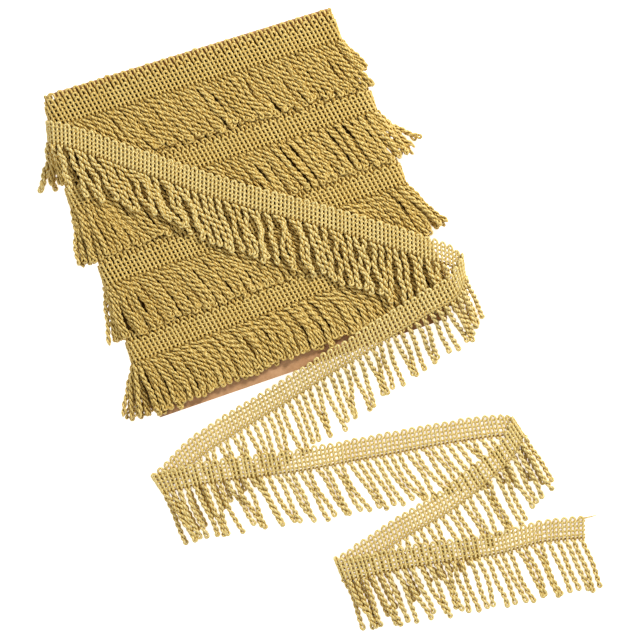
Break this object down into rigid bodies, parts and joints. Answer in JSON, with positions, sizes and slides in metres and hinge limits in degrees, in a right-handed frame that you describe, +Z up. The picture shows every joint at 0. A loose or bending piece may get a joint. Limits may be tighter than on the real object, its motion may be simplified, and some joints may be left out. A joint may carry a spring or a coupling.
{
  "type": "fringe trim on card",
  "caption": "Gold bullion fringe trim with a looped heading and twisted strands, wound in rows round a kraft card, its loose end laid to and fro.",
  "frame": {"origin": "on the surface that it rests on, under the middle of the whole object", "axes": "+Z up; +X to the right and +Y away, as seen from above with the wound card at the far left"},
  "size_m": [0.39, 0.4332, 0.0232],
  "materials": {
    "kraft_card": "uncoated kraft board, matt and mottled",
    "wound_yarn": "lustrous rayon yarn, plied and wound",
    "heading_yarn": "lustrous rayon yarn in a looped ribbed heading",
    "strand_yarn": "lustrous rayon yarn, two plies twisted into each strand"
  },
  "bodies": {
    "root": {"card": "kraft_card", "wound_rows": "wound_yarn", "loose_heading": "heading_yarn", "row_1_fringe": "wound_yarn", "row_2_fringe": "wound_yarn", "row_3_fringe": "wound_yarn", "row_4_fringe": "wound_yarn", "run_1_fringe": "strand_yarn", "run_2_fringe": "strand_yarn", "run_3_fringe": "strand_yarn", "run_4_fringe": "strand_yarn", "run_5_fringe": "strand_yarn"}
  },
  "joints": []
}
